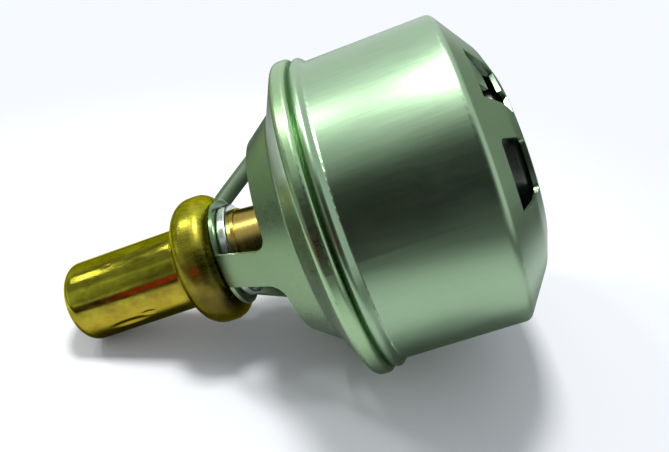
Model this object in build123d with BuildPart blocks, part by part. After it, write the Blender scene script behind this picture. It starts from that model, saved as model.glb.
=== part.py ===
"""Wax-element engine thermostat of the cartridge pattern.

A brass wax capsule hangs from a three-legged stainless cage.  The cage's flange is curled
over the flared edge of a drawn barrel, with a seat ring clamped in the curl.  The wax pushes
a piston down through its guide against a spring-loaded valve disc inside the barrel.

Frame: millimetres, +Z along the axis towards the capsule, z = 0 on the flat outlet hub that
the part stands on, one cage leg on +X.
"""

import os
from math import atan2, cos, degrees, radians, sin, sqrt

from build123d import *

os.makedirs("parts", exist_ok=True)

# ---------------------------------------------------------------------------
# Driving dimensions
# ---------------------------------------------------------------------------

# Outlet shell: one drawn stainless sheet, barrel and windowed end
sheet = 0.6
barrel_radius = 25.6
barrel_foot_z = 6.5
end_slope_run = 7.1
end_ring_width = 4.3
dome_knee_z = 1.6
drain_radius = 3.0
roll_z = 28.05
roll_rise = 1.3
roll_half_width = 1.2
hub_bend = 1.9
knee_bend = 4.4
barrel_foot_bend = 0.8
roll_foot_bend = 0.5
roll_crest_bend = 0.2
roll_top_bend = 0.35
flare_bend = 0.1

# Windows and tongues of the windowed end, in each third
sector_count = 3
port_start = -6.0
port_end = 22.0
port_rim_width = 3.5
port_width = 7.2
port_corner = 0.8
relief_start = 38.0
relief_end = 63.0
relief_rim_width = 3.4
relief_width = 5.6
notch_start = 38.0
notch_end = 49.0
notch_width = 7.3
tongue_start = 43.5
tongue_end = 60.5
tongue_tip_half_angle = 4.5
tongue_reach = 3.6
tongue_drop = 1.1

# Inlet cage: one pressed stainless sheet, neck disc, three legs, cone and curled flange
groove_height = 1.2
flange_overhang = 1.4
flange_height = 2.25
crease_run = 6.6
crease_rise = 3.4
cone_rise = 15.2
neck_radius = 9.8
curl_reach = 1.3
curl_bend = 0.15
flange_edge_bend = 0.4
crease_bend = 1.6
neck_bend = 0.6
leg_count = 3
leg_width = 5.7
window_neck_inset = 0.5
window_sill_height = 4.8
window_corner = 2.4

# Seat ring: one pressed ring, clamped in the curl
seat_thickness = 0.6
seat_rim_gap = 0.25
seat_rim_width = 4.6
seat_bend_run = 1.4
seat_land_width = 3.4
seat_land_drop = 0.3
seat_lip_drop = 1.6
seat_rim_bend = 0.2
seat_land_bend = 0.5
seat_lip_bend = 0.2

# Wax element
capsule_radius = 7.15
capsule_rise = 29.4
capsule_wall = 1.1
capsule_end_bend = 0.9
bead_radius = 11.25
bead_height = 7.3
bead_top_bend = 1.9
bead_foot_bend = 0.8
bead_neck_bend = 0.8
bead_lip_radius = 8.0
guide_flange_thickness = 2.6
shank_radius = 7.0
shank_step = 0.9
taper_top_radius = 6.7
taper_foot_radius = 5.9
guide_depth = 12.5
guide_foot_fillet = 0.8
diaphragm_thickness = 1.3
plug_length = 3.4
backup_thickness = 0.8
plug_gap = 0.05
wiper_radius = 4.2
wiper_thickness = 1.6
retaining_ring_width = 1.1
retaining_ring_height = 1.7
retaining_ring_edge = 0.4
diaphragm_side_gap = 0.4

# Piston and valve
piston_radius = 2.5
valve_lift = 8.0
lift_reserve = 0.8
valve_overlap = 1.6
valve_thickness = 1.0
valve_seat_gap = 0.2
seal_thickness = 1.5
seal_bead_rise = 0.5
seal_overhang = 0.8
seal_side_gap = 0.1
dish_slant = 1.0
dish_depth = 1.8
dish_foot_bend = 0.2
dish_top_bend = 0.5
retainer_inset = 2.1
retainer_foot_width = 2.3
retainer_reach = 1.2
retainer_sheet = 0.5
retainer_bend = 0.1
button_radius = 5.0
button_height = 3.0
button_pocket_depth = 2.0
button_chamfer = 0.6
piston_chamfer = 0.4
seal_bead_half_width = 1.0
spigot_radius = 2.0
rivet_radius = 2.6
rivet_height = 0.6
stem_radius = 4.0
stem_wall = 1.3
stem_flange_radius = 6.2
stem_flange_thickness = 0.9
stem_web_thickness = 1.8

# Outlet hub stack and spring
sleeve_wall = 1.2
sleeve_flange_thickness = 1.0
cup_hub_inset = 0.2
cup_sheet = 0.8
cup_height = 4.4
cup_step_run = 0.7
cup_channel_width = 4.6
cup_step_bend = 0.1
cup_floor_bend = 0.05
cup_wall_bend = 0.4
spring_wire_radius = 0.9
spring_turns = 6.5
spring_side_gap = 0.3
spring_head_gap = 0.1

# Fits
running_clearance = 0.05
press_clearance = 0.02
seating_gap = 0.02

# ---------------------------------------------------------------------------
# Sizes that follow from the driving dimensions
# ---------------------------------------------------------------------------

hub_inside_z = sheet
dome_knee_radius = barrel_radius - end_slope_run
hub_radius = dome_knee_radius - end_ring_width
port_outer_radius = barrel_radius - port_rim_width
port_inner_radius = port_outer_radius - port_width
relief_outer_radius = barrel_radius - relief_rim_width
relief_inner_radius = relief_outer_radius - relief_width
notch_inner_radius = relief_outer_radius - notch_width
curl_foot_z = roll_z + groove_height
flange_radius = barrel_radius + flange_overhang
flange_top_z = curl_foot_z + flange_height
crease_radius = flange_radius - crease_run
crease_z = flange_top_z + crease_rise
cage_top_z = crease_z + cone_rise
cage_underside_z = cage_top_z - sheet
window_inner_radius = neck_radius - window_neck_inset
window_foot_z = crease_z + window_sill_height
flange_slope = crease_rise / crease_run
flange_normal = sqrt(1.0 + flange_slope**2)


def flange_inside_z(radius):
    """Height of the cage flange's inner face at a radius."""
    return crease_z - flange_slope * (radius - crease_radius) - sheet * flange_normal


curl_inside_radius = flange_radius - sheet
seat_rim_radius = curl_inside_radius - seat_rim_gap
flare_radius = curl_inside_radius - running_clearance - sheet * flange_slope / flange_normal
seat_stack = seat_thickness * flange_normal
flare_top_gap = seating_gap + sheet * flange_normal


def flare_face_z(radius):
    """Height of the shell flare's lower face at a radius, under the seat ring."""
    return flange_inside_z(radius) - seating_gap - seat_stack - flare_top_gap


seat_bend_radius = flange_radius - seat_rim_width
seat_land_radius = seat_bend_radius - seat_bend_run
seat_land_z = flange_top_z - seat_land_drop
seat_lip_radius = seat_land_radius - seat_land_width
seat_lip_z = seat_land_z - seat_thickness - seat_lip_drop
valve_radius = seat_lip_radius + valve_overlap
retainer_wall_radius = seat_lip_radius - retainer_inset
dish_shoulder_radius = retainer_wall_radius - retainer_foot_width
dish_radius = dish_shoulder_radius - dish_slant
seal_top_z = seat_lip_z - valve_seat_gap
rim_top_z = seal_top_z - seal_thickness - seal_bead_rise
rim_foot_z = rim_top_z - valve_thickness
dish_top_z = rim_top_z - dish_depth
dish_foot_z = dish_top_z - valve_thickness
pocket_floor_z = dish_top_z + button_height - button_pocket_depth
stem_bore_radius = stem_radius - stem_wall
stem_foot_z = hub_inside_z + valve_lift + lift_reserve
sleeve_bore_radius = stem_radius + running_clearance
sleeve_radius = sleeve_bore_radius + sleeve_wall
guide_bore_radius = piston_radius + running_clearance
capsule_top_z = cage_top_z + capsule_rise
guide_foot_z = cage_top_z - guide_depth
bead_foot_z = cage_top_z + seating_gap
bead_top_z = bead_foot_z + bead_height
bead_bore_radius = bead_radius - capsule_wall
guide_flange_radius = bead_bore_radius - press_clearance
guide_flange_foot_z = bead_foot_z + capsule_wall + seating_gap
guide_flange_top_z = guide_flange_foot_z + guide_flange_thickness
diaphragm_top_z = guide_flange_top_z + diaphragm_thickness
plug_foot_z = guide_flange_top_z - plug_length
backup_foot_z = plug_foot_z - backup_thickness
capsule_bore_radius = capsule_radius - capsule_wall
retaining_ring_radius = shank_radius + retaining_ring_width
retaining_ring_top_z = cage_underside_z - seating_gap
retaining_ring_foot_z = retaining_ring_top_z - retaining_ring_height
shank_foot_z = retaining_ring_foot_z - shank_step
seal_inner_radius = retainer_wall_radius + seal_side_gap
cup_radius = hub_radius - cup_hub_inset
cup_floor_radius = cup_radius - cup_channel_width
sleeve_flange_radius = cup_floor_radius - 2 * cup_step_run
cup_foot_z = hub_inside_z + seating_gap
cup_middle_z = cup_foot_z + sleeve_flange_thickness + seating_gap
spring_foot_z = cup_foot_z + cup_sheet
spring_head_z = rim_foot_z
spring_height = spring_head_z - spring_foot_z
stem_top_z = dish_foot_z - seating_gap
sleeve_foot_z = hub_inside_z + seating_gap
sleeve_top_z = stem_top_z - stem_flange_thickness - valve_lift - lift_reserve
rivet_top_z = stem_top_z - stem_web_thickness - seating_gap
seat_lip_middle_radius = seat_lip_radius + seat_thickness / 2
seal_bead_inner_radius = seat_lip_middle_radius - seal_bead_half_width
seal_bead_outer_radius = seat_lip_middle_radius + seal_bead_half_width
wax_foot_z = diaphragm_top_z + 2 * seating_gap
wax_shoulder_z = bead_top_z - capsule_wall - seating_gap
wax_foot_radius = bead_bore_radius - bead_top_bend - press_clearance
spring_foot_radius = cup_radius - cup_sheet - spring_side_gap - spring_wire_radius
spring_head_radius = dish_shoulder_radius + spring_side_gap + spring_wire_radius
spring_cone_angle = degrees(atan2(spring_head_radius - spring_foot_radius, spring_height))
tongue_root_radius = relief_outer_radius + sheet / 2
tongue_tip_radius = relief_outer_radius - tongue_reach
root_half_angle = (tongue_end - tongue_start) / 2
sector_turns = [index * 360 / sector_count for index in range(sector_count)]


def end_face_z(radius):
    """Height of the sloping outlet end's outer face at a radius."""
    slope = (barrel_foot_z - dome_knee_z) / (barrel_radius - dome_knee_radius)
    return dome_knee_z + slope * (radius - dome_knee_radius)


# ---------------------------------------------------------------------------
# Outlet shell
# ---------------------------------------------------------------------------


def sheet_section(line, bends, thickness):
    """Draw the section of a bent sheet to the left of a line, with its inside bend radii."""
    points = [Vector(*point) for point in line]
    runs = [(end - start).normalized() for start, end in zip(points, points[1:])]
    sides = [run.rotate(Axis.Z, 90) for run in runs]
    far_points = [points[0] + sides[0] * thickness]
    near_bends, far_bends = [], []
    for corner, bend, before, after in zip(points[1:], bends, sides, sides[1:]):
        far_points.append(corner + (before + after) * (thickness / (1 + before.dot(after))))
        turns_left = before.cross(after).Z > 0
        near_bends.append(bend + thickness if turns_left else bend)
        far_bends.append(bend if turns_left else bend + thickness)
    far_points.append(points[-1] + sides[-1] * thickness)
    near = FilletPolyline(*points, radius=near_bends)
    far = FilletPolyline(*far_points, radius=far_bends)
    Line(near @ 0, far @ 0)
    Line(near @ 1, far @ 1)


def polar(radius, degrees):
    """A point on the XY plane at a radius and an angle."""
    return (radius * cos(radians(degrees)), radius * sin(radians(degrees)))


def sector(inner, outer, start, end):
    """Draw the outline between two radii and two angles."""
    middle = (start + end) / 2
    ThreePointArc(polar(inner, start), polar(inner, middle), polar(inner, end))
    Line(polar(inner, end), polar(outer, end))
    ThreePointArc(polar(outer, end), polar(outer, middle), polar(outer, start))
    Line(polar(outer, start), polar(inner, start))


with BuildPart() as tongues:
    # Three lanced tongues, bent inwards from the rim of the outlet end
    with BuildSketch(Plane.XZ):
        with BuildLine():
            tongue_foot = end_face_z(tongue_tip_radius) + tongue_drop
            Polyline(
                (tongue_tip_radius, tongue_foot),
                (tongue_root_radius, end_face_z(tongue_root_radius)),
                (tongue_root_radius, end_face_z(tongue_root_radius) + sheet),
                (tongue_tip_radius, tongue_foot + sheet),
                close=True,
            )
        make_face()
    revolve(axis=Axis.Z)
    with BuildSketch():
        for turn in sector_turns:
            middle = (tongue_start + tongue_end) / 2 + turn
            with BuildLine():
                Polyline(
                    polar(tongue_tip_radius - sheet, middle - tongue_tip_half_angle),
                    polar(tongue_root_radius + sheet, middle - root_half_angle),
                    polar(tongue_root_radius + sheet, middle + root_half_angle),
                    polar(tongue_tip_radius - sheet, middle + tongue_tip_half_angle),
                    close=True,
                )
            make_face()
    extrude(amount=barrel_foot_z + sheet, mode=Mode.INTERSECT)

with BuildPart() as outlet_shell:
    # The sheet's outer line runs from the drain hole across the shallow end, up the barrel
    # and over the stiffening roll to the flared edge.
    with BuildSketch(Plane.XZ):
        with BuildLine():
            sheet_section(
                [
                    (drain_radius, 0),
                    (hub_radius, 0),
                    (dome_knee_radius, dome_knee_z),
                    (barrel_radius, barrel_foot_z),
                    (barrel_radius, roll_z - roll_half_width),
                    (barrel_radius + roll_rise, roll_z),
                    (barrel_radius, roll_z + roll_half_width),
                    (barrel_radius, flare_face_z(barrel_radius)),
                    (flare_radius, flare_face_z(flare_radius)),
                ],
                [
                    hub_bend,
                    knee_bend,
                    barrel_foot_bend,
                    roll_foot_bend,
                    roll_crest_bend,
                    roll_top_bend,
                    flare_bend,
                ],
                sheet,
            )
        make_face()
    revolve(axis=Axis.Z)
    # Outlet ports, reliefs and rim notches, pierced straight through the end
    with BuildSketch(Plane.XY.offset(-sheet)) as ports:
        for turn in sector_turns:
            with BuildLine():
                sector(port_inner_radius, port_outer_radius, port_start + turn, port_end + turn)
            make_face()
        fillet(ports.vertices(), port_corner)
    extrude(amount=barrel_foot_z + 2 * sheet, mode=Mode.SUBTRACT)
    with BuildSketch(Plane.XY.offset(-sheet)):
        for turn in sector_turns:
            with BuildLine():
                sector(
                    relief_inner_radius,
                    relief_outer_radius,
                    relief_start + turn,
                    relief_end + turn,
                )
            make_face()
            with BuildLine():
                sector(
                    notch_inner_radius,
                    relief_outer_radius,
                    notch_start + turn,
                    notch_end + turn,
                )
            make_face()
    extrude(amount=barrel_foot_z + 2 * sheet, mode=Mode.SUBTRACT)
    add(tongues.part)
outlet_shell.part.label = "outlet_shell"
export_step(outlet_shell.part, "parts/outlet_shell.step")

# ---------------------------------------------------------------------------
# Inlet cage
# ---------------------------------------------------------------------------

with BuildPart() as windows:
    # The space between the legs, with round corners at the wide end
    with BuildSketch(Plane.XY.offset(window_foot_z)):
        Circle(flange_radius)
        Circle(window_inner_radius, mode=Mode.SUBTRACT)
        with PolarLocations(0, leg_count):
            Rectangle(
                flange_radius + leg_width,
                leg_width,
                align=(Align.MIN, Align.CENTER),
                mode=Mode.SUBTRACT,
            )
    extrude(amount=cage_top_z - window_foot_z + sheet)
    corner_edges = windows.edges().group_by(Axis.Z)[0].filter_by(GeomType.LINE)
    fillet(corner_edges, window_corner)

with BuildPart() as inlet_cage:
    # Outer line from the curled edge up the flange and the cone to the neck hole
    with BuildSketch(Plane.XZ):
        with BuildLine():
            sheet_section(
                [
                    (flange_radius - curl_reach, curl_foot_z),
                    (flange_radius, curl_foot_z),
                    (flange_radius, flange_top_z),
                    (crease_radius, crease_z),
                    (neck_radius, cage_top_z),
                    (shank_radius + press_clearance, cage_top_z),
                ],
                [curl_bend, flange_edge_bend, crease_bend, neck_bend],
                sheet,
            )
        make_face()
    revolve(axis=Axis.Z)
    add(windows.part, mode=Mode.SUBTRACT)
inlet_cage.part.label = "inlet_cage"
export_step(inlet_cage.part, "parts/inlet_cage.step")

# ---------------------------------------------------------------------------
# Seat ring
# ---------------------------------------------------------------------------

with BuildPart() as seat_ring:
    # Upper line from the clamped rim down to the flat land and the lip under it
    with BuildSketch(Plane.XZ):
        with BuildLine():
            sheet_section(
                [
                    (seat_rim_radius, flange_inside_z(seat_rim_radius) - seating_gap),
                    (seat_bend_radius, flange_inside_z(seat_bend_radius) - seating_gap),
                    (seat_land_radius, seat_land_z),
                    (seat_lip_radius, seat_land_z),
                    (seat_lip_radius, seat_lip_z),
                ],
                [seat_rim_bend, seat_land_bend, seat_lip_bend],
                seat_thickness,
            )
        make_face()
    revolve(axis=Axis.Z)
seat_ring.part.label = "seat_ring"
export_step(seat_ring.part, "parts/seat_ring.step")

# ---------------------------------------------------------------------------
# Wax element
# ---------------------------------------------------------------------------

with BuildPart() as capsule_cup:
    # Outer line from the crimped lip round the bead and up to the closed end
    with BuildSketch(Plane.XZ):
        with BuildLine():
            sheet_section(
                [
                    (bead_lip_radius, bead_foot_z),
                    (bead_radius, bead_foot_z),
                    (bead_radius, bead_top_z),
                    (capsule_radius, bead_top_z),
                    (capsule_radius, capsule_top_z),
                    (0, capsule_top_z),
                ],
                [bead_foot_bend, bead_top_bend, bead_neck_bend, capsule_end_bend],
                capsule_wall,
            )
        make_face()
    revolve(axis=Axis.Z)
capsule_cup.part.label = "capsule_cup"
export_step(capsule_cup.part, "parts/capsule_cup.step")

with BuildPart() as piston_guide:
    with BuildSketch(Plane.XZ):
        with BuildLine():
            Polyline(
                (guide_bore_radius, guide_flange_top_z),
                (guide_flange_radius, guide_flange_top_z),
                (guide_flange_radius, guide_flange_foot_z),
                (shank_radius, guide_flange_foot_z),
                (shank_radius, shank_foot_z),
                (taper_top_radius, shank_foot_z),
                (taper_foot_radius, guide_foot_z),
                (wiper_radius, guide_foot_z),
                (wiper_radius, guide_foot_z + wiper_thickness),
                (guide_bore_radius, guide_foot_z + wiper_thickness),
                close=True,
            )
        make_face()
    revolve(axis=Axis.Z)
    rims = piston_guide.edges().filter_by(GeomType.CIRCLE).sort_by(SortBy.RADIUS)[-2:]
    fillet(rims.sort_by(Axis.Z)[0], bead_foot_bend + running_clearance)
    foot_edge = piston_guide.edges().group_by(Axis.Z)[0].sort_by(SortBy.RADIUS)[-1]
    fillet(foot_edge, guide_foot_fillet)
piston_guide.part.label = "piston_guide"
export_step(piston_guide.part, "parts/piston_guide.step")

with BuildPart() as guide_wiper:
    with BuildSketch(Plane.XY.offset(guide_foot_z + seating_gap)):
        Circle(wiper_radius - press_clearance)
        Circle(guide_bore_radius, mode=Mode.SUBTRACT)
    extrude(amount=wiper_thickness - 2 * seating_gap)
guide_wiper.part.label = "guide_wiper"
export_step(guide_wiper.part, "parts/guide_wiper.step")

with BuildPart() as retaining_ring:
    with BuildSketch(Plane.XY.offset(retaining_ring_foot_z)):
        Circle(retaining_ring_radius)
        Circle(shank_radius + press_clearance, mode=Mode.SUBTRACT)
    extrude(amount=retaining_ring_height)
    outer_edges = retaining_ring.edges().filter_by(GeomType.CIRCLE).sort_by(SortBy.RADIUS)[-2:]
    fillet(outer_edges, retaining_ring_edge)
retaining_ring.part.label = "retaining_ring"
export_step(retaining_ring.part, "parts/retaining_ring.step")

with BuildPart() as diaphragm:
    # Rubber disc with a clamped rim and a shallow crown on the wax side
    with BuildSketch(Plane.XY.offset(guide_flange_top_z + seating_gap)):
        Circle(guide_flange_radius - diaphragm_side_gap)
    extrude(amount=diaphragm_thickness)
    chamfer(diaphragm.edges().group_by(Axis.Z)[-1], diaphragm_thickness / 2)
diaphragm.part.label = "diaphragm"
export_step(diaphragm.part, "parts/diaphragm.step")

with BuildPart() as wax_charge:
    with BuildSketch(Plane.XY.offset(wax_foot_z)):
        Circle(wax_foot_radius)
    extrude(amount=wax_shoulder_z - wax_foot_z)
    with BuildSketch(Plane.XY.offset(wax_foot_z)):
        Circle(capsule_bore_radius - press_clearance)
    extrude(amount=capsule_top_z - capsule_wall - seating_gap - wax_foot_z)
    fillet(wax_charge.edges().group_by(Axis.Z)[-1], capsule_end_bend)
wax_charge.part.label = "wax_charge"
export_step(wax_charge.part, "parts/wax_charge.step")

with BuildPart() as rubber_plug:
    with BuildSketch(Plane.XY.offset(plug_foot_z)):
        Circle(piston_radius)
    extrude(amount=plug_length - plug_gap)
rubber_plug.part.label = "rubber_plug"
export_step(rubber_plug.part, "parts/rubber_plug.step")

with BuildPart() as backup_washer:
    with BuildSketch(Plane.XY.offset(backup_foot_z)):
        Circle(piston_radius)
    extrude(amount=backup_thickness - seating_gap)
backup_washer.part.label = "backup_washer"
export_step(backup_washer.part, "parts/backup_washer.step")

# ---------------------------------------------------------------------------
# Piston and valve
# ---------------------------------------------------------------------------

with BuildPart() as piston:
    with BuildSketch(Plane.XY.offset(pocket_floor_z)):
        Circle(piston_radius)
    extrude(amount=backup_foot_z - seating_gap - pocket_floor_z)
    chamfer(piston.edges().group_by(Axis.Z)[0], piston_chamfer)
piston.part.label = "piston"
export_step(piston.part, "parts/piston.step")

with BuildPart() as thrust_button:
    # Turned head with the piston's pocket, and a spigot riveted through the disc and stem
    with BuildSketch(Plane.XZ):
        with BuildLine():
            Polyline(
                (0, pocket_floor_z),
                (piston_radius + press_clearance, pocket_floor_z),
                (piston_radius + press_clearance, dish_top_z + button_height),
                (button_radius, dish_top_z + button_height),
                (button_radius, dish_top_z + seating_gap),
                (spigot_radius, dish_top_z + seating_gap),
                (spigot_radius, rivet_top_z),
                (rivet_radius, rivet_top_z),
                (rivet_radius, rivet_top_z - rivet_height),
                (0, rivet_top_z - rivet_height),
                close=True,
            )
        make_face()
    revolve(axis=Axis.Z)
    chamfer(thrust_button.edges().group_by(Axis.Z)[-1].sort_by(SortBy.RADIUS)[-1], button_chamfer)
thrust_button.part.label = "thrust_button"
export_step(thrust_button.part, "parts/thrust_button.step")

with BuildPart() as valve_disc:
    # Lower line from the rivet hole across the dish and up to the flat rim
    with BuildSketch(Plane.XZ):
        with BuildLine():
            sheet_section(
                [
                    (spigot_radius + press_clearance, dish_foot_z),
                    (dish_radius, dish_foot_z),
                    (dish_shoulder_radius, rim_foot_z),
                    (valve_radius, rim_foot_z),
                ],
                [dish_foot_bend, dish_top_bend],
                valve_thickness,
            )
        make_face()
    revolve(axis=Axis.Z)
valve_disc.part.label = "valve_disc"
export_step(valve_disc.part, "parts/valve_disc.step")

with BuildPart() as valve_seal:
    # Moulded ring that lies on the rim, wraps its edge and carries the sealing bead
    with BuildSketch(Plane.XZ):
        with BuildLine():
            Polyline(
                (seal_inner_radius, rim_top_z + seating_gap),
                (valve_radius + press_clearance, rim_top_z + seating_gap),
                (valve_radius + press_clearance, rim_foot_z),
                (valve_radius + seal_overhang, rim_foot_z),
                (valve_radius + seal_overhang, rim_top_z + seal_thickness),
                (seal_bead_outer_radius, rim_top_z + seal_thickness),
                (seat_lip_middle_radius, seal_top_z),
                (seal_bead_inner_radius, rim_top_z + seal_thickness),
                (seal_inner_radius, rim_top_z + seal_thickness),
                close=True,
            )
        make_face()
    revolve(axis=Axis.Z)
valve_seal.part.label = "valve_seal"
export_step(valve_seal.part, "parts/valve_seal.step")

with BuildPart() as seal_retainer:
    with BuildSketch(Plane.XZ):
        with BuildLine():
            sheet_section(
                [
                    (dish_shoulder_radius, rim_top_z + seating_gap),
                    (retainer_wall_radius, rim_top_z + seating_gap),
                    (retainer_wall_radius, rim_top_z + seal_thickness + seating_gap),
                    (
                        retainer_wall_radius + retainer_reach,
                        rim_top_z + seal_thickness + seating_gap,
                    ),
                ],
                [retainer_bend, retainer_bend],
                retainer_sheet,
            )
        make_face()
    revolve(axis=Axis.Z)
seal_retainer.part.label = "seal_retainer"
export_step(seal_retainer.part, "parts/seal_retainer.step")

with BuildPart() as valve_stem:
    with BuildSketch(Plane.XZ):
        with BuildLine():
            Polyline(
                (spigot_radius + press_clearance, stem_top_z),
                (stem_flange_radius, stem_top_z),
                (stem_flange_radius, stem_top_z - stem_flange_thickness),
                (stem_radius, stem_top_z - stem_flange_thickness),
                (stem_radius, stem_foot_z),
                (stem_bore_radius, stem_foot_z),
                (stem_bore_radius, stem_top_z - stem_web_thickness),
                (spigot_radius + press_clearance, stem_top_z - stem_web_thickness),
                close=True,
            )
        make_face()
    revolve(axis=Axis.Z)
valve_stem.part.label = "valve_stem"
export_step(valve_stem.part, "parts/valve_stem.step")

# ---------------------------------------------------------------------------
# Outlet hub stack and return spring
# ---------------------------------------------------------------------------

with BuildPart() as guide_sleeve:
    # Flanged bush that guides the valve stem
    with BuildSketch(Plane.XZ):
        with BuildLine():
            Polyline(
                (sleeve_bore_radius, sleeve_foot_z),
                (sleeve_flange_radius, sleeve_foot_z),
                (sleeve_flange_radius, sleeve_foot_z + sleeve_flange_thickness),
                (sleeve_radius, sleeve_foot_z + sleeve_flange_thickness),
                (sleeve_radius, sleeve_top_z),
                (sleeve_bore_radius, sleeve_top_z),
                close=True,
            )
        make_face()
    revolve(axis=Axis.Z)
guide_sleeve.part.label = "guide_sleeve"
export_step(guide_sleeve.part, "parts/guide_sleeve.step")

with BuildPart() as spring_cup:
    # Lower line from the sleeve hole over the bush flange, down to the hub and up the wall
    with BuildSketch(Plane.XZ):
        with BuildLine():
            sheet_section(
                [
                    (sleeve_radius + press_clearance, cup_middle_z),
                    (sleeve_flange_radius + cup_step_run, cup_middle_z),
                    (cup_floor_radius, cup_foot_z),
                    (cup_radius, cup_foot_z),
                    (cup_radius, cup_foot_z + cup_height),
                ],
                [cup_step_bend, cup_floor_bend, cup_wall_bend],
                cup_sheet,
            )
        make_face()
    revolve(axis=Axis.Z)
spring_cup.part.label = "spring_cup"
export_step(spring_cup.part, "parts/spring_cup.step")

with BuildPart() as return_spring:
    # Conical compression spring with both ends ground flat
    with BuildLine() as coil:
        Helix(
            pitch=spring_height / spring_turns,
            height=spring_height,
            radius=spring_foot_radius,
            center=(0, 0, spring_foot_z),
            cone_angle=spring_cone_angle,
        )
    with BuildSketch(coil.line ^ 0):
        Circle(spring_wire_radius)
    sweep(path=coil.line, is_frenet=True)
    split(bisect_by=Plane.XY.offset(spring_foot_z + seating_gap), keep=Keep.TOP)
    split(bisect_by=Plane.XY.offset(spring_head_z - spring_head_gap), keep=Keep.BOTTOM)
return_spring.part.label = "return_spring"
export_step(return_spring.part, "parts/return_spring.step")
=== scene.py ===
from math import atan2, cos, pi, radians, sin

import bpy
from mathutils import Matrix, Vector


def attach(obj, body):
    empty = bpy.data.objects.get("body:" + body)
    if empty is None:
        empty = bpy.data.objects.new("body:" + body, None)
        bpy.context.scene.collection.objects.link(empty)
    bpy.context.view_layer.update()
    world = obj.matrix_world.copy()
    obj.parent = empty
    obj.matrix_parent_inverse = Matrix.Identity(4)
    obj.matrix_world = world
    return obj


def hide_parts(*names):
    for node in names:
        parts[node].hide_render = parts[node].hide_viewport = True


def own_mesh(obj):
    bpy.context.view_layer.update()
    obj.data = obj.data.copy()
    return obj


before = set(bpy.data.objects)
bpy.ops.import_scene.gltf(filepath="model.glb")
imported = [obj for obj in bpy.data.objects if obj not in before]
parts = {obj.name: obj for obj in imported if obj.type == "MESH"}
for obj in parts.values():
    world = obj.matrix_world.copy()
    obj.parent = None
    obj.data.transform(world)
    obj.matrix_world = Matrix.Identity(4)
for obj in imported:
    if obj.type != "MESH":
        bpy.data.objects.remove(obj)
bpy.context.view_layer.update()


# Camera: it stands close to the part, which lies on its side on the curled flange and the
# capsule's tip, so near ends look larger than far ones.  Its lens is a plain 35 mm.

camera_place = (0.10584, 0.02836, 0.01466)
camera_turn = (radians(-115.858), radians(69.304), radians(-98.643))
sensor_width = 36.0
lens_length = 35.3
nearest_seen = 0.005

bpy.ops.object.camera_add(location=camera_place)
camera = bpy.context.object
camera.rotation_euler = camera_turn
camera.data.sensor_width = sensor_width
camera.data.lens = lens_length
camera.data.clip_start = nearest_seen
bpy.context.scene.camera = camera
bpy.context.scene.view_settings.view_transform = "Standard"


# Table: a dark bench with a sheet of pale paper laid under the part.  It touches the flange
# and the capsule's tip, so it leans against the part's axis.  To the camera the paper fades
# out into the white room, and from below it isn't there.

lean = radians(22.6)
table_bearing = radians(75)
table_radius = 0.75
table_points = 96
rest_height = 0.0366
middle = Vector((0, 0, 0.03))
paper_end, bench_start = 0.07, 0.16
paper_colour = (0.86, 0.87, 0.90, 1)
bench_colour = (0.04, 0.045, 0.04, 1)

table_side = Vector((cos(table_bearing), sin(table_bearing), 0))
table_up = table_side * cos(lean) - Vector((0, 0, 1)) * sin(lean)
bpy.ops.mesh.primitive_circle_add(vertices=table_points, radius=table_radius, fill_type="NGON")
table = bpy.context.object
table.name = "table"
table.rotation_euler = table_up.to_track_quat("Z", "Y").to_euler()
table.location = middle - table_up * (middle.dot(table_up) + rest_height)


class Mark:
    """A value that varies over a surface; maths on it adds Math nodes beside it."""

    def __init__(self, nodes, socket):
        self.nodes = nodes
        self.socket = socket

    def maths(self, operation, first, second):
        return self.nodes.node("ShaderNodeMath", {"operation": operation}, {0: first, 1: second})

    def __add__(self, other):
        return self.maths("ADD", self, other)

    def __sub__(self, other):
        return self.maths("SUBTRACT", self, other)

    def __rsub__(self, other):
        return self.maths("SUBTRACT", other, self)

    def __mul__(self, other):
        return self.maths("MULTIPLY", self, other)

    __radd__ = __add__
    __rmul__ = __mul__


class Nodes:
    """The nodes of a material or of the room, round the shader that they feed."""

    def __init__(self, owner, shader, **constant):
        owner.use_nodes = True
        self.tree = owner.node_tree
        self.shader = self.tree.nodes[shader]
        for socket, value in constant.items():
            self.shader.inputs[socket.replace("_", " ")].default_value = value

    def node(self, kind, settings, sockets, output=0):
        """Add a node: its settings first, then the value or the link of each socket."""
        made = self.tree.nodes.new(kind)
        for key, value in settings.items():
            setattr(made, key, value)
        for key, value in sockets.items():
            if isinstance(value, Mark):
                self.tree.links.new(value.socket, made.inputs[key])
            else:
                made.inputs[key].default_value = value
        return Mark(self, made.outputs[output])

    def feed(self, socket, mark):
        """Let a mark set one of the shader's sockets."""
        self.tree.links.new(mark.socket, self.shader.inputs[socket])

    def along(self, axis, vector):
        """One part of a vector: x, y or z."""
        return self.node("ShaderNodeSeparateXYZ", {}, {"Vector": vector}, axis)

    def larger(self, first, second):
        """The larger of two marks at each place."""
        return self.node("ShaderNodeMath", {"operation": "MAXIMUM"}, {0: first, 1: second})

    def between(self, value, low, high, start=0.0, end=1.0, ease="LINEAR"):
        """Stretch a mark so that low gives start and high gives end, cut off outside."""
        ends = {"From Min": low, "From Max": high, "To Min": start, "To Max": end}
        return self.node("ShaderNodeMapRange", {"interpolation_type": ease}, {"Value": value, **ends})

    def tint(self, share, first, second):
        """Mix two colours by a mark."""
        return self.node("ShaderNodeMix", {"data_type": "RGBA"}, {0: share, 6: first, 7: second}, 2)


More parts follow.
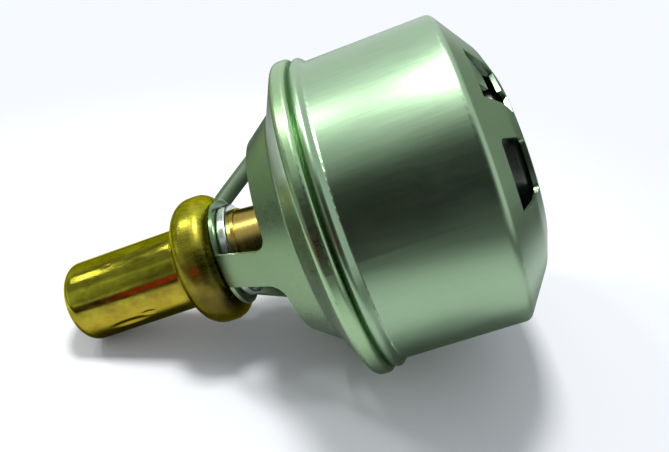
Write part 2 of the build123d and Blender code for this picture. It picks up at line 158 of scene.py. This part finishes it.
table_top = bpy.data.materials.new("table_top")
top = Nodes(table_top, "Principled BSDF", Roughness=0.9, Specular_IOR_Level=0.1)
spot = top.node("ShaderNodeTexCoord", {}, {}, "Object")
reach = top.node("ShaderNodeVectorMath", {"operation": "LENGTH"}, {0: spot}, "Value")
fade = top.between(reach, paper_end, bench_start, ease="SMOOTHSTEP")
looked_at = top.node("ShaderNodeLightPath", {}, {}, "Is Camera Ray")
top.feed("Base Color", top.tint(fade * (1 - looked_at), paper_colour, bench_colour))
from_below = top.node("ShaderNodeNewGeometry", {}, {}, "Backfacing")
clear = top.node("ShaderNodeBsdfTransparent", {}, {})
solid = Mark(top, top.shader.outputs[0])
gone = top.larger(from_below, fade) * looked_at
seen_top = top.node("ShaderNodeMixShader", {}, {0: gone, 1: solid, 2: clear})
top.tree.links.new(seen_top.socket, top.tree.nodes["Material Output"].inputs["Surface"])
table.data.materials.append(table_top)


# Room: white painted walls all round the bench.  They are white where they are looked at or
# mirrored, and a little over half as strong as plain light, so the part keeps its colours.

wall_colour = (0.93, 0.96, 1.0, 1)
light_strength, seen_strength = 0.55, 1.0

room = bpy.data.worlds.new("room")
bpy.context.scene.world = room
walls = Nodes(room, "Background", Color=wall_colour)
looked_at = walls.node("ShaderNodeLightPath", {}, {}, "Is Camera Ray")
mirrored = walls.node("ShaderNodeLightPath", {}, {}, "Is Glossy Ray")
through_glass = walls.node("ShaderNodeLightPath", {}, {}, "Is Transmission Ray")
shown = walls.larger(looked_at, walls.larger(mirrored, through_glass))
walls.feed("Strength", walls.between(shown, 0.0, 1.0, light_strength, seen_strength))


# Lamps: four soft boxes of cloth over a bulb, hung on stands above the table and turned to
# the part.  The large one lights the barrel, the small ones its rim, the capsule and the bead.


def lamp(name, place, width, height, power):
    """Hang a soft rectangular lamp that faces the part."""
    bpy.ops.object.light_add(type="AREA", location=place)
    light = bpy.context.object
    light.name = name
    light.rotation_euler = (middle - Vector(place)).to_track_quat("-Z", "Y").to_euler()
    light.data.shape = "RECTANGLE"
    light.data.size = width
    light.data.size_y = height
    light.data.energy = power


lamp("barrel_lamp", place=(0.04, 0.30, -0.065), width=0.07, height=0.06, power=0.75)
lamp("rim_lamp", place=(0.03, 0.30, 0.080), width=0.05, height=0.02, power=0.08)
lamp("capsule_lamp", place=(0.01, 0.26, 0.219), width=0.08, height=0.006, power=0.022)
lamp("bead_lamp", place=(-0.005, 0.30, 0.155), width=0.03, height=0.03, power=0.13)


# Cards: painted boards with soft edges, stood round the part, and two dark ones laid on the
# paper as painted shadow at its foot.  Only shiny skins mirror them: they throw no shadow, and
# the camera doesn't see them.

card_edge = 0.5


def card(name, place, width, height, soft, colour, facing=None):
    """Set up a soft-edged card that faces the part and shows in mirror images alone."""
    if facing is None:
        facing = middle - Vector(place)
    bpy.ops.mesh.primitive_plane_add(size=1, location=place)
    board = bpy.context.object
    board.name = name
    board.scale = (height, width, 1)
    board.rotation_euler = facing.to_track_quat("Z", "Y").to_euler()
    board.visible_camera = False
    board.visible_diffuse = False
    board.visible_shadow = False
    board.visible_transmission = False
    paint = bpy.data.materials.new(name)
    face = Nodes(paint, "Principled BSDF", Base_Color=colour, Roughness=1.0)
    spot = face.node("ShaderNodeTexCoord", {}, {}, "Object")
    off_middle = face.node("ShaderNodeVectorMath", {"operation": "ABSOLUTE"}, {0: spot})
    farther = face.larger(face.along("X", off_middle), face.along("Y", off_middle))
    face.feed("Alpha", face.between(farther, card_edge, card_edge - soft, ease="SMOOTHSTEP"))
    board.data.materials.append(paint)


card(
    "black_card",
    place=(0.151, 0.037, 0.010),
    width=0.40,
    height=0.30,
    soft=0.32,
    colour=(0.011, 0.012, 0.011, 1),
)
card(
    "low_card",
    place=(0.140, 0.000, 0.165),
    width=0.16,
    height=0.080,
    soft=0.25,
    colour=(0.02, 0.02, 0.015, 1),
)
card(
    "side_card",
    place=(0.165, 0.120, 0.205),
    width=0.20,
    height=0.17,
    soft=0.15,
    colour=(0.82, 0.87, 0.68, 1),
)
card(
    "left_card",
    place=(-0.178, 0.110, 0.276),
    width=0.44,
    height=0.50,
    soft=0.20,
    colour=(0.82, 0.92, 0.66, 1),
)
card(
    "right_card",
    place=(-0.201, -0.011, -0.244),
    width=0.40,
    height=0.36,
    soft=0.20,
    colour=(0.52, 0.58, 0.46, 1),
)
card(
    "high_card",
    place=(0.030, 0.330, 0.260),
    width=0.34,
    height=0.52,
    soft=0.10,
    colour=(0.85, 0.88, 0.74, 1),
)
card(
    "red_card",
    place=(0.130, 0.003, 0.104),
    width=0.06,
    height=0.026,
    soft=0.14,
    colour=(1.0, 0.035, 0.02, 1),
)

laid_height = 0.0363
table_front = Vector((sin(table_bearing), -cos(table_bearing), 0))
table_along = table_up.cross(table_front)
under_barrel = table_along * 0.002
under_tip = table_along * -0.066 - table_front * 0.008
# Painted shadow: two dark cards on the paper under the barrel and the capsule's tip stand for the
# contact shadow.
card(
    "barrel_shadow_card",
    place=under_barrel - table_up * laid_height,
    width=0.075,
    height=0.056,
    soft=0.15,
    colour=(0.22, 0.25, 0.22, 1),
    facing=table_up,
)
card(
    "tip_shadow_card",
    place=under_tip - table_up * laid_height,
    width=0.032,
    height=0.040,
    soft=0.15,
    colour=(0.20, 0.22, 0.16, 1),
    facing=table_up,
)


# Outlet shell: one stainless sheet, deep drawn to the barrel and the shallow windowed end.
# The press leaves a satin skin with a fine grain along the draw, and the ports and tongues
# are pierced last.

cloud_grain = (0.06, 0.06, 0.04)
patch_grain = (0.16, 0.16, 0.12)
least_speckle, most_speckle = 0.35, 0.65
rubbed_rough = 0.04


class Finish(Nodes):
    """The skin of one kind of piece: a material that gets its marks from nodes."""

    def __init__(self, name, **constant):
        self.material = bpy.data.materials.new(name)
        super().__init__(self.material, "Principled BSDF", **constant)
        self.place = self.node("ShaderNodeTexCoord", {}, {}, "Object")

    def speckle(self, per_mm, detail=2.0, rough=0.5):
        """Cloudy grain with this many cells in a millimetre along x, y and z."""
        scale = tuple(1000 * count for count in per_mm)
        place = self.node("ShaderNodeMapping", {}, {"Vector": self.place, "Scale": scale})
        cells = {"Vector": place, "Scale": 1.0, "Detail": detail, "Roughness": rough}
        return self.node("ShaderNodeTexNoise", {}, cells)

    def relief(self, height, depth_mm):
        """Raise the surface by a mark that runs from 0 to 1."""
        rise = {"Height": height, "Strength": 1.0, "Distance": depth_mm / 1000}
        self.feed("Normal", self.node("ShaderNodeBump", {}, rise))

    def cover(self, *names):
        """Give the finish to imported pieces."""
        for name in names:
            parts[name].material_slots[0].material = self.material


def steel(name, light, dark, least_rough, most_rough, depth_mm, grain):
    """Sheet steel: two close tones in soft clouds, fine drawn lines and a few rubbed patches."""
    finish = Finish(name, Metallic=1.0)
    lines = finish.speckle(grain, detail=3.0, rough=0.55)
    clouds = finish.speckle(cloud_grain)
    patches = finish.speckle(patch_grain, detail=3.0)
    rubbed = finish.between(patches, low=0.45, high=0.75)
    tone = finish.between(clouds * 0.7 + lines * 0.3, least_speckle, most_speckle)
    finish.skin = finish.tint(tone, dark, light)
    finish.feed("Base Color", finish.skin)
    scratched = lines * 0.6 + clouds * 0.4
    rough = finish.between(scratched, least_speckle, most_speckle, least_rough, most_rough)
    finish.feed("Roughness", rough + rubbed * rubbed_rough)
    finish.relief(lines, depth_mm)
    return finish


shell = steel(
    "drawn_steel",
    light=(0.32, 0.46, 0.295, 1),
    dark=(0.27, 0.40, 0.25, 1),
    least_rough=0.29,
    most_rough=0.33,
    depth_mm=0.0004,
    grain=(2.4, 2.4, 0.16),
)
shell.cover("outlet_shell")


# Inlet cage: one stainless sheet, pressed to the cone, with three windows pierced.  Its skin
# is a little duller than the barrel's.  Its flange, which is curled over the shell's flare, is
# painted lighter as a painted reflection.

# Where the flange band's painted reflection starts and ends, and its lighter steel:
flange_start, flange_end = 0.0326, 0.0316
sheen_steel = (0.31, 0.47, 0.26, 1)

cage = steel(
    "pressed_steel",
    light=(0.23, 0.34, 0.185, 1),
    dark=(0.18, 0.28, 0.145, 1),
    least_rough=0.26,
    most_rough=0.36,
    depth_mm=0.0015,
    grain=(1.6, 1.6, 1.6),
)
# Painted reflection: the flange band is painted lighter.
flange_sheen = cage.between(cage.along("Z", cage.place), flange_start, flange_end)
cage.feed("Base Color", cage.tint(flange_sheen, cage.skin, sheen_steel))
cage.cover("inlet_cage")


# Seat ring, valve disc, seal retainer, stem, thrust button and spring cup: plain stainless
# pressings and turned steel inside the shell, riveted or clamped together and finished alike.

inner = steel(
    "inner_steel",
    light=(0.46, 0.50, 0.45, 1),
    dark=(0.36, 0.40, 0.35, 1),
    least_rough=0.28,
    most_rough=0.40,
    depth_mm=0.0015,
    grain=(2.0, 2.0, 2.0),
)
inner.cover("seat_ring", "valve_disc", "seal_retainer", "valve_stem", "thrust_button", "spring_cup")


# Return spring: drawn spring wire, coiled cold to a cone and ground flat at both ends.  It
# stands in its cup and holds the valve shut, and the valve's lift flattens it.

wire = steel(
    "spring_wire",
    light=(0.50, 0.51, 0.48, 1),
    dark=(0.38, 0.40, 0.36, 1),
    least_rough=0.25,
    most_rough=0.38,
    depth_mm=0.002,
    grain=(3.0, 3.0, 0.6),
)
wire.cover("return_spring")
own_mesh(parts["return_spring"])


# Retaining ring and piston: a ring turned from steel bar and pressed on the guide's shank,
# and a ground and polished pin.  Both are brighter than the sheet, with fine tool rings.

ring_dark = (0.50, 0.57, 0.52, 1)
ring_light = (0.66, 0.74, 0.68, 1)

bright = Finish("turned_steel", Metallic=1.0)
rings = bright.speckle(per_mm=(0.2, 0.2, 9.0), rough=0.6)
bright.feed("Base Color", bright.tint(rings, ring_dark, ring_light))
bright.feed("Roughness", bright.between(rings, low=0.3, high=0.7, start=0.16, end=0.28))
bright.relief(rings, depth_mm=0.0015)
bright.cover("retaining_ring", "piston")


# Wax capsule: a deep drawn brass cup, its rim swelled to a bead and crimped over the guide's
# flange.  A knock has left a crease near the closed end.  On its side towards the table it is
# painted pale gold as a painted reflection, with painted shade at its bottom and mottled brown
# painted shade on the bead.  Its shape is given in millimetres, and the edges of its stains and
# painted light in metres.

cup_wall = 1.1
lip_radius = 8.0
lip_z = 50.12
bead_radius = 11.25
foot_bend = 2.8
bead_straight = 1.2
crown_bend = 3.3
neck_bend = 0.8
cup_radius = 7.15
cup_foot_z = 58.3
cup_step = 0.32
cup_steps = 60
tip_bend = 2.0
tip_z = 79.5
rim_points = 200
dent_floor = 6.8

foot_z = lip_z + foot_bend
crown_z = foot_z + bead_straight
bead_top_z = crown_z + crown_bend
neck_z = bead_top_z + neck_bend


def bend(radius, height, size, start, end, steps):
    """Radius and height of the points round a bend, from angle to angle."""
    turns = [radians(start + (end - start) * step / steps) for step in range(steps + 1)]
    return [(radius + size * cos(turn), height + size * sin(turn)) for turn in turns]


def carry_rim(start, rings):
    """Extrude the selected rim through a list of radii and heights and close the last one."""
    radius, height = start
    for next_radius, next_height in rings:
        rise = {"value": (0, 0, (next_height - height) / 1000)}
        bpy.ops.mesh.extrude_region_move(TRANSFORM_OT_translate=rise)
        share = next_radius / radius
        centre = (0, 0, next_height / 1000)
        bpy.ops.transform.resize(value=(share, share, 1), center_override=centre)
        radius, height = next_radius, next_height
    bpy.ops.mesh.edge_face_add()


lip = (lip_radius, lip_z)
bead = bend(bead_radius - foot_bend, foot_z, foot_bend, -90, 0, steps=14)
bead += bend(bead_radius - crown_bend, crown_z, crown_bend, 0, 90, steps=16)
neck = bend(cup_radius + neck_bend, neck_z, neck_bend, 270, 180, steps=5)
past_bead = neck[1:]
side = [(cup_radius, cup_foot_z + cup_step * step) for step in range(1, cup_steps)]
closed_end = bend(cup_radius - tip_bend, tip_z - tip_bend, tip_bend, 0, 90, steps=9)
inside = [
    (lip_radius, lip_z + cup_wall),
    (bead_radius - cup_wall, lip_z + cup_wall),
    (bead_radius - cup_wall, bead_top_z - cup_wall),
    (cup_radius - cup_wall, bead_top_z - cup_wall),
    (cup_radius - cup_wall, tip_z - cup_wall),
]

bpy.ops.mesh.primitive_circle_add(
    vertices=rim_points,
    radius=lip_radius / 1000,
    fill_type="NOTHING",
    location=(0, 0, lip_z / 1000),
)
capsule = bpy.context.object
capsule.name = "wax_capsule"
bpy.ops.object.transform_apply(location=True, rotation=True, scale=True)
bpy.ops.object.mode_set(mode="EDIT")
bpy.ops.mesh.select_mode(type="EDGE")
bpy.ops.mesh.select_all(action="SELECT")
carry_rim(lip, bead + past_bead + side + closed_end)
bpy.ops.mesh.select_all(action="DESELECT")
bpy.ops.mesh.select_non_manifold(
    extend=False,
    use_wire=False,
    use_multi_face=False,
    use_non_contiguous=False,
    use_verts=False,
)
carry_rim(lip, inside)
bpy.ops.mesh.select_all(action="SELECT")
bpy.ops.mesh.normals_make_consistent(inside=False)
bpy.ops.object.mode_set(mode="OBJECT")


def knock(turn, height, length, width, depth):
    """Press a long oval dent into the capsule's outer wall."""
    for vertex in capsule.data.vertices:
        x, y, z = [1000 * value for value in vertex.co]
        radius = (x * x + y * y) ** 0.5
        aside = (atan2(y, x) - radians(turn) + pi) % (2 * pi) - pi
        reach = (2 * (z - height) / length) ** 2 + (2 * radius * aside / width) ** 2
        if reach < 1 and radius > dent_floor:
            share = 1 - depth * (1 - reach) ** 2 / radius
            vertex.co.x *= share
            vertex.co.y *= share


knock(turn=-37, height=69.8, length=9.0, width=1.9, depth=0.26)
knock(turn=-30, height=66.0, length=3.6, width=1.4, depth=0.20)
knock(turn=63, height=69.0, length=5.0, width=0.8, depth=0.05)
knock(turn=70, height=67.8, length=6.0, width=0.8, depth=0.06)
knock(turn=56, height=70.2, length=2.4, width=0.9, depth=0.05)

dark_olive = (0.21, 0.205, 0.016, 1)
light_olive = (0.48, 0.455, 0.045, 1)
# Pale gold painted reflection of the paper, on the side towards the table:
reflected_gold = (0.42, 0.30, 0.03, 1)
brown_stain = (0.17, 0.10, 0.02, 1)
# Painted shade for the capsule's bottom, towards the table:
shade_brass = (0.05, 0.048, 0.014, 1)
# Painted shade for the bead's side towards the table, from dark to brown:
bead_shade_dark = (0.015, 0.015, 0.010, 1)
bead_shade_brown = (0.14, 0.105, 0.022, 1)
straw = (0.8, 0.75, 0.3, 1)
bead_end, bead_start = 0.0590, 0.0572
# Edges across the capsule of the painted shade on the bead, the painted shade at the bottom and the
# painted reflection:
bead_shade_start, bead_shade_end = 0.006, -0.003
shade_start, shade_end = -0.0038, -0.0050
reflection_start, reflection_end = 0.0005, -0.0020
bead_shade_wander = 0.006
shade_wander = 0.0008
smooth_under = radians(40)

brass = Finish("tarnished_brass", Metallic=1.0, Specular_Tint=straw)
clouds = brass.speckle(per_mm=(0.16, 0.16, 0.10), detail=4.0, rough=0.6)
fine = brass.speckle(per_mm=(1.6, 1.6, 0.5), detail=4.0, rough=0.65)
spots = brass.speckle(per_mm=(0.22, 0.22, 0.2), detail=3.0, rough=0.6)
stain = brass.between(spots, low=0.46, high=0.66)
across = brass.along("Y", brass.place)
on_bead = brass.between(brass.along("Z", brass.place), bead_end, bead_start)
# Painted shade: the bead darkens to mottled brown on its side towards the table.
wavy = across + clouds * bead_shade_wander - bead_shade_wander / 2
bead_shade = on_bead * brass.between(wavy, bead_shade_start, bead_shade_end)
# Painted shade: the capsule darkens at its bottom, towards the table.
shaded = brass.between(across + clouds * shade_wander, shade_start, shade_end)
# Painted reflection: the capsule's side towards the table turns pale gold.
painted_reflection = brass.between(across, reflection_start, reflection_end)
tone = brass.between(clouds * 0.6 + fine * 0.4, low=0.36, high=0.64)
olive = brass.tint(tone, dark_olive, light_olive)
skin = brass.tint(painted_reflection * 0.65, olive, reflected_gold)
spotted = brass.tint(stain * 0.55, skin, brown_stain)
# The painted shade at the bottom goes over the stained skin.
painted_shade_skin = brass.tint(shaded * 0.4, spotted, shade_brass)
# The mottled brown colour of the bead's painted shade, laid over the skin below.
bead_shade_colour = brass.tint(clouds, bead_shade_dark, bead_shade_brown)
brass.feed("Base Color", brass.tint(bead_shade * 0.9, painted_shade_skin, bead_shade_colour))
rough = brass.between(fine, low=0.3, high=0.7, start=0.09, end=0.17)
brass.feed("Roughness", rough + stain * 0.05 + on_bead * 0.14)
brass.relief(fine, depth_mm=0.0012)
capsule.data.materials.append(brass.material)
bpy.ops.object.shade_smooth_by_angle(angle=smooth_under)
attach(capsule, "housing")
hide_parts("capsule_cup")


# Piston guide and guide sleeve: turned from brass rod, redder than the capsule, with the
# lathe's fine rings.  The guide is crimped into the capsule, the sleeve stands on the hub.

bar_dark = (0.32, 0.235, 0.055, 1)
bar_light = (0.38, 0.295, 0.075, 1)
bar_gleam = (0.8, 0.7, 0.35, 1)

turned = Finish("turned_brass", Metallic=1.0, Specular_Tint=bar_gleam)
rings = turned.speckle(per_mm=(0.2, 0.2, 5.0))
turned.feed("Base Color", turned.tint(rings, bar_dark, bar_light))
turned.feed("Roughness", turned.between(rings, low=0.3, high=0.7, start=0.24, end=0.28))
turned.relief(rings, depth_mm=0.0001)
turned.cover("piston_guide", "guide_sleeve")


# Valve seal, guide wiper, diaphragm and plug: moulded black rubber, matt with a dusty bloom.
# They are held by the parts round them, with no glue.

rubber_black = (0.012, 0.012, 0.013, 1)
rubber_bloom = (0.045, 0.045, 0.046, 1)

rubber = Finish("black_rubber", Metallic=0.0)
bloom = rubber.speckle(per_mm=(0.7, 0.7, 0.7), detail=4.0, rough=0.6)
rubber.feed("Base Color", rubber.tint(bloom, rubber_black, rubber_bloom))
rubber.feed("Roughness", rubber.between(bloom, low=0.3, high=0.7, start=0.55, end=0.8))
rubber.relief(bloom, depth_mm=0.02)
rubber.cover("valve_seal", "guide_wiper", "diaphragm", "rubber_plug")


# Backup washer and wax: a white moulded washer over the plug, and the pale wax charge that is
# cast into the capsule.  Both are shut inside.

wax_dark = (0.62, 0.58, 0.48, 1)
wax_light = (0.78, 0.76, 0.68, 1)

waxy = Finish("pale_wax", Metallic=0.0)
bloom = waxy.speckle(per_mm=(0.4, 0.4, 0.4), detail=3.0)
waxy.feed("Base Color", waxy.tint(bloom, wax_dark, wax_light))
waxy.feed("Roughness", waxy.between(bloom, low=0.3, high=0.7, start=0.45, end=0.6))
waxy.relief(bloom, depth_mm=0.02)
waxy.cover("backup_washer", "wax_charge")
